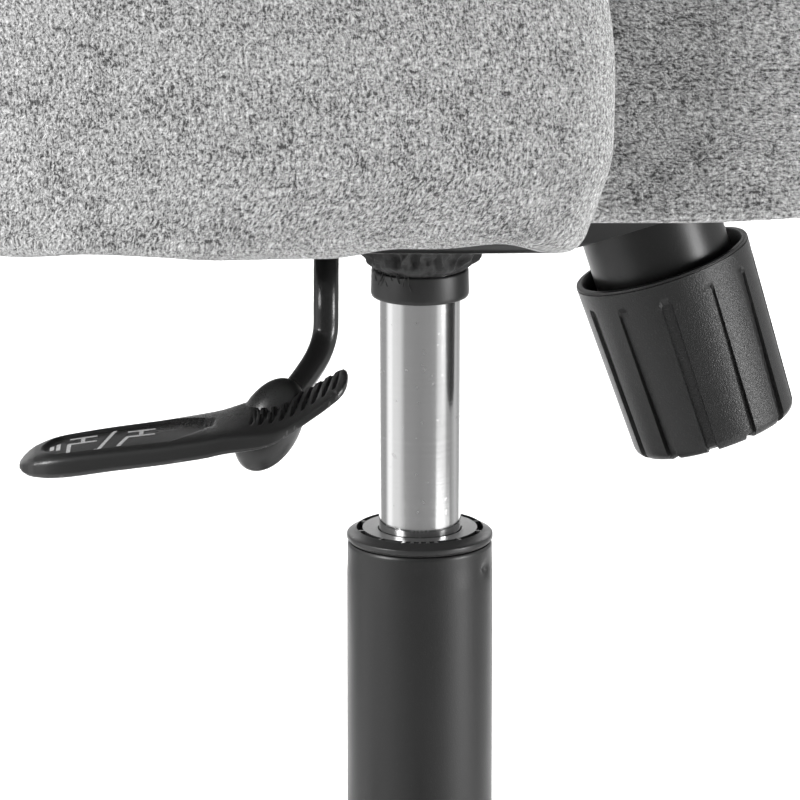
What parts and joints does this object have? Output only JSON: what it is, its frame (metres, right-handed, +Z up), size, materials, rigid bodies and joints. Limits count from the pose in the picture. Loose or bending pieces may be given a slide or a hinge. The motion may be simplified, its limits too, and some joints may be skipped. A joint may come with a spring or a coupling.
{
  "type": "swivel stool",
  "caption": "Upholstered swivel stool with a low wrap-round back on a gas-lift column, with tilt tension knob, lever, and a caster base.",
  "frame": {"origin": "on the floor, under the column axis and the middle of the plan", "axes": "+Z up, -Y the way the sitter faces, +X to the sitter's left"},
  "size_m": [0.5964, 0.6059, 0.8],
  "materials": {
    "tweed": "woven light grey tweed with dark flecks",
    "black_cloth": "thin black cloth, matt",
    "black_plastic": "fine spark grain, satin",
    "nylon": "moulded, light grain",
    "caster_tread": "smooth, slightly worn",
    "black_paint": "satin powder coat",
    "bright_steel": "ground and hard-chromed",
    "zinc_steel": "zinc plated",
    "spring_steel": "oiled black",
    "rubber": "matt",
    "plywood": "bare birch plywood"
  },
  "bodies": {
    "base": {"five_star_base": "nylon", "outer_column_tube": "black_paint", "column_bushing": "black_plastic", "thrust_bearing": "zinc_steel", "caster_1_stem": "zinc_steel", "caster_2_stem": "zinc_steel", "caster_3_stem": "zinc_steel", "caster_4_stem": "zinc_steel", "caster_5_stem": "zinc_steel"},
    "spindle": {"piston_rod": "bright_steel", "retaining_clip": "zinc_steel", "rod_bumper": "rubber"},
    "gas_lift": {"gas_cylinder": "bright_steel", "collar_ring": "black_plastic", "cylinder_boot": "black_cloth", "tilt_base_bracket": "black_paint", "spring_housing": "black_paint", "tilt_pivot_pin": "zinc_steel"},
    "valve": {"valve_button": "zinc_steel"},
    "tilt_lock": {"tilt_lock_plate": "zinc_steel"},
    "lever": {"lever_rod": "black_paint", "lever_handle": "black_plastic"},
    "seat": {"tilt_top_plate": "black_paint", "seat_board": "plywood", "seat_cushion": "tweed", "dust_cover": "black_cloth", "back_shell": "tweed", "shell_strap_left": "black_paint", "shell_strap_right": "black_paint", "shell_strap_rear": "black_paint", "plate_bolt_1": "zinc_steel", "plate_bolt_2": "zinc_steel", "plate_bolt_3": "zinc_steel", "plate_bolt_4": "zinc_steel"},
    "bolt": {"tension_bolt": "zinc_steel"},
    "spring_nut": {"spring_washer": "zinc_steel", "tension_spring": "spring_steel"},
    "knob": {"tension_knob": "black_plastic"},
    "caster_1": {"caster_1_hood": "nylon"},
    "caster_1_wheels": {"caster_1_axle": "zinc_steel", "caster_1_inner_wheel": "caster_tread", "caster_1_outer_wheel": "caster_tread"},
    "caster_2": {"caster_2_hood": "nylon"},
    "caster_2_wheels": {"caster_2_axle": "zinc_steel", "caster_2_inner_wheel": "caster_tread", "caster_2_outer_wheel": "caster_tread"},
    "caster_3": {"caster_3_hood": "nylon"},
    "caster_3_wheels": {"caster_3_axle": "zinc_steel", "caster_3_inner_wheel": "caster_tread", "caster_3_outer_wheel": "caster_tread"},
    "caster_4": {"caster_4_hood": "nylon"},
    "caster_4_wheels": {"caster_4_axle": "zinc_steel", "caster_4_inner_wheel": "caster_tread", "caster_4_outer_wheel": "caster_tread"},
    "caster_5": {"caster_5_hood": "nylon"},
    "caster_5_wheels": {"caster_5_axle": "zinc_steel", "caster_5_inner_wheel": "caster_tread", "caster_5_outer_wheel": "caster_tread"}
  },
  "joints": [
    {"name": "seat_swivel", "type": "hinge", "parent": "base", "child": "spindle", "pos_m": [0, 0, 0.06], "axis": [0, 0, 1], "continuous": true},
    {"name": "seat_lift", "type": "slide", "parent": "spindle", "child": "gas_lift", "axis": [0, 0, 1], "range_m": [-0.08, 0]},
    {"name": "seat_tilt", "type": "hinge", "parent": "gas_lift", "child": "seat", "pos_m": [0, -0.034, 0.409], "axis": [-1, 0, 0], "range_deg": [0, 12], "stiffness_Nm_per_rad": 60, "springref_deg": -20.05},
    {"name": "bolt_travel", "type": "slide", "parent": "gas_lift", "child": "bolt", "axis": [0, 0.304, 0.9527], "range_m": [0, 0.0075]},
    {"name": "knob_turn", "type": "hinge", "parent": "bolt", "child": "knob", "pos_m": [0, -0.082, 0.3694], "axis": [0, 0.304, 0.9527], "range_deg": [-1080, 1080]},
    {"name": "nut_travel", "type": "slide", "parent": "bolt", "child": "spring_nut", "axis": [0, 0.304, 0.9527], "range_m": [-0.00375, 0.00375]},
    {"name": "lever_pull", "type": "slide", "parent": "gas_lift", "child": "tilt_lock", "axis": [-1, 0, 0], "range_m": [0, 0.008]},
    {"name": "lever_lift", "type": "hinge", "parent": "tilt_lock", "child": "lever", "pos_m": [-0.042, 0.03, 0.414], "axis": [1, 0, 0], "range_deg": [0, 7.5], "stiffness_Nm_per_rad": 2, "springref_deg": -8.59},
    {"name": "button_travel", "type": "slide", "parent": "gas_lift", "child": "valve", "axis": [0, 0, -1], "range_m": [0, 0.0045]},
    {"name": "caster_1_swivel", "type": "hinge", "parent": "base", "child": "caster_1", "pos_m": [-0.275, 0, 0.06], "axis": [0, 0, 1], "continuous": true},
    {"name": "caster_1_roll", "type": "hinge", "parent": "caster_1", "child": "caster_1_wheels", "pos_m": [-0.275, 0.022, 0.02469], "axis": [-1, 0, 0], "continuous": true},
    {"name": "caster_2_swivel", "type": "hinge", "parent": "base", "child": "caster_2", "pos_m": [-0.08498, -0.26154, 0.06], "axis": [0, 0, 1], "continuous": true},
    {"name": "caster_2_roll", "type": "hinge", "parent": "caster_2", "child": "caster_2_wheels", "pos_m": [-0.1059, -0.25474, 0.02469], "axis": [-0.309, -0.9511, 0], "continuous": true},
    {"name": "caster_3_swivel", "type": "hinge", "parent": "base", "child": "caster_3", "pos_m": [0.22248, -0.16164, 0.06], "axis": [0, 0, 1], "continuous": true},
    {"name": "caster_3_roll", "type": "hinge", "parent": "caster_3", "child": "caster_3_wheels", "pos_m": [0.20955, -0.17944, 0.02469], "axis": [0.809, -0.5878, 0], "continuous": true},
    {"name": "caster_4_swivel", "type": "hinge", "parent": "base", "child": "caster_4", "pos_m": [0.22248, 0.16164, 0.06], "axis": [0, 0, 1], "continuous": true},
    {"name": "caster_4_roll", "type": "hinge", "parent": "caster_4", "child": "caster_4_wheels", "pos_m": [0.23541, 0.14384, 0.02469], "axis": [0.809, 0.5878, 0], "continuous": true},
    {"name": "caster_5_swivel", "type": "hinge", "parent": "base", "child": "caster_5", "pos_m": [-0.08498, 0.26154, 0.06], "axis": [0, 0, 1], "continuous": true},
    {"name": "caster_5_roll", "type": "hinge", "parent": "caster_5", "child": "caster_5_wheels", "pos_m": [-0.06406, 0.26834, 0.02469], "axis": [-0.309, 0.9511, 0], "continuous": true}
  ],
  "couplings": [
    {"joint": "bolt_travel", "follows": "seat_tilt", "m_per_rad": 0.0336},
    {"joint": "knob_turn", "follows": "nut_travel", "rad_per_m": 5026.5},
    {"joint": "lever_lift", "follows": "button_travel", "rad_per_m": 29.089}
  ]
}
